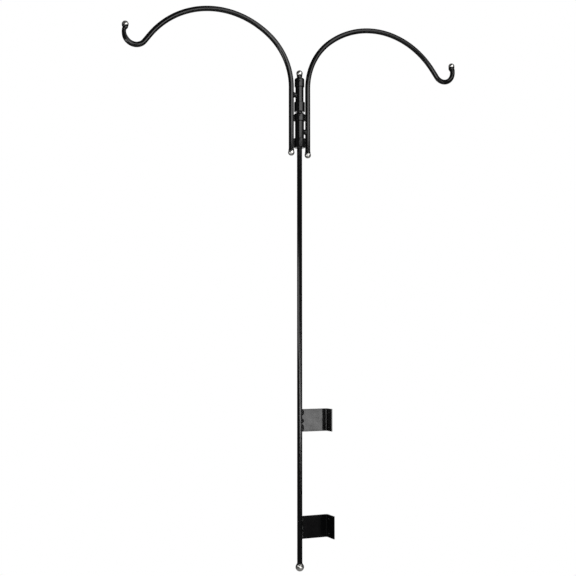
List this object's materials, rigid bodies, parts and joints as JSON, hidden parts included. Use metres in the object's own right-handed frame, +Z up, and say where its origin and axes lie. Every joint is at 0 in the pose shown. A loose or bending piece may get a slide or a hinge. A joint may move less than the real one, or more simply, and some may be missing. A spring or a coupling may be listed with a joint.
{
  "type": "hanging plant stand",
  "caption": "Upright round-bar hanger with two swivelling S-curved hook arms, polished ball ends and bent wall brackets.",
  "frame": {"origin": "middle of the upper bracket's flange, on the face that meets the wall or post", "axes": "+X out of the flange face towards the wall and along the right arm, +Z up the pole, -Y the way the flanges come forward from the webs"},
  "size_m": [1.1351, 0.0654, 1.7055],
  "materials": {
    "black_coat": "gloss black powder coat over steel",
    "polished_steel": "polished steel",
    "black_oxide_steel": "black oxide"
  },
  "bodies": {
    "pole_frame": {"pole": "black_coat", "pole_top_ball": "polished_steel", "pole_top_ball_weld": "black_coat", "pole_foot_ball": "polished_steel", "pole_foot_ball_weld": "black_coat", "upper_bracket": "black_coat", "upper_bracket_weld_front_1": "black_coat", "upper_bracket_weld_front_2": "black_coat", "upper_bracket_weld_front_3": "black_coat", "upper_bracket_weld_back_1": "black_coat", "upper_bracket_weld_back_2": "black_coat", "upper_bracket_weld_back_3": "black_coat", "lower_bracket": "black_coat", "lower_bracket_weld_front_1": "black_coat", "lower_bracket_weld_front_2": "black_coat", "lower_bracket_weld_front_3": "black_coat", "lower_bracket_weld_back_1": "black_coat", "lower_bracket_weld_back_2": "black_coat", "lower_bracket_weld_back_3": "black_coat", "left_arm_bottom_collar": "black_coat", "left_arm_bottom_collar_set_screw": "black_oxide_steel", "left_arm_top_collar": "black_coat", "left_arm_top_collar_set_screw": "black_oxide_steel", "right_arm_bottom_collar": "black_coat", "right_arm_bottom_collar_set_screw": "black_oxide_steel", "right_arm_top_collar": "black_coat", "right_arm_top_collar_set_screw": "black_oxide_steel"},
    "left_arm": {"left_sleeve": "black_coat", "left_arm_stub": "black_coat", "left_arm_rod": "black_coat", "left_hook_ball": "polished_steel", "left_hook_ball_weld": "black_coat", "left_tail_ball": "polished_steel", "left_tail_ball_weld": "black_coat"},
    "right_arm": {"right_sleeve": "black_coat", "right_arm_stub": "black_coat", "right_arm_rod": "black_coat", "right_hook_ball": "polished_steel", "right_hook_ball_weld": "black_coat", "right_tail_ball": "polished_steel", "right_tail_ball_weld": "black_coat"}
  },
  "joints": [
    {"name": "left_arm_swivel", "type": "hinge", "parent": "pole_frame", "child": "left_arm", "pos_m": [-0.095, 0.016, 1.01], "axis": [0, 0, 1], "range_deg": [-65, 65]},
    {"name": "right_arm_swivel", "type": "hinge", "parent": "pole_frame", "child": "right_arm", "pos_m": [-0.095, 0.016, 0.9], "axis": [0, 0, -1], "range_deg": [-65, 65]}
  ]
}
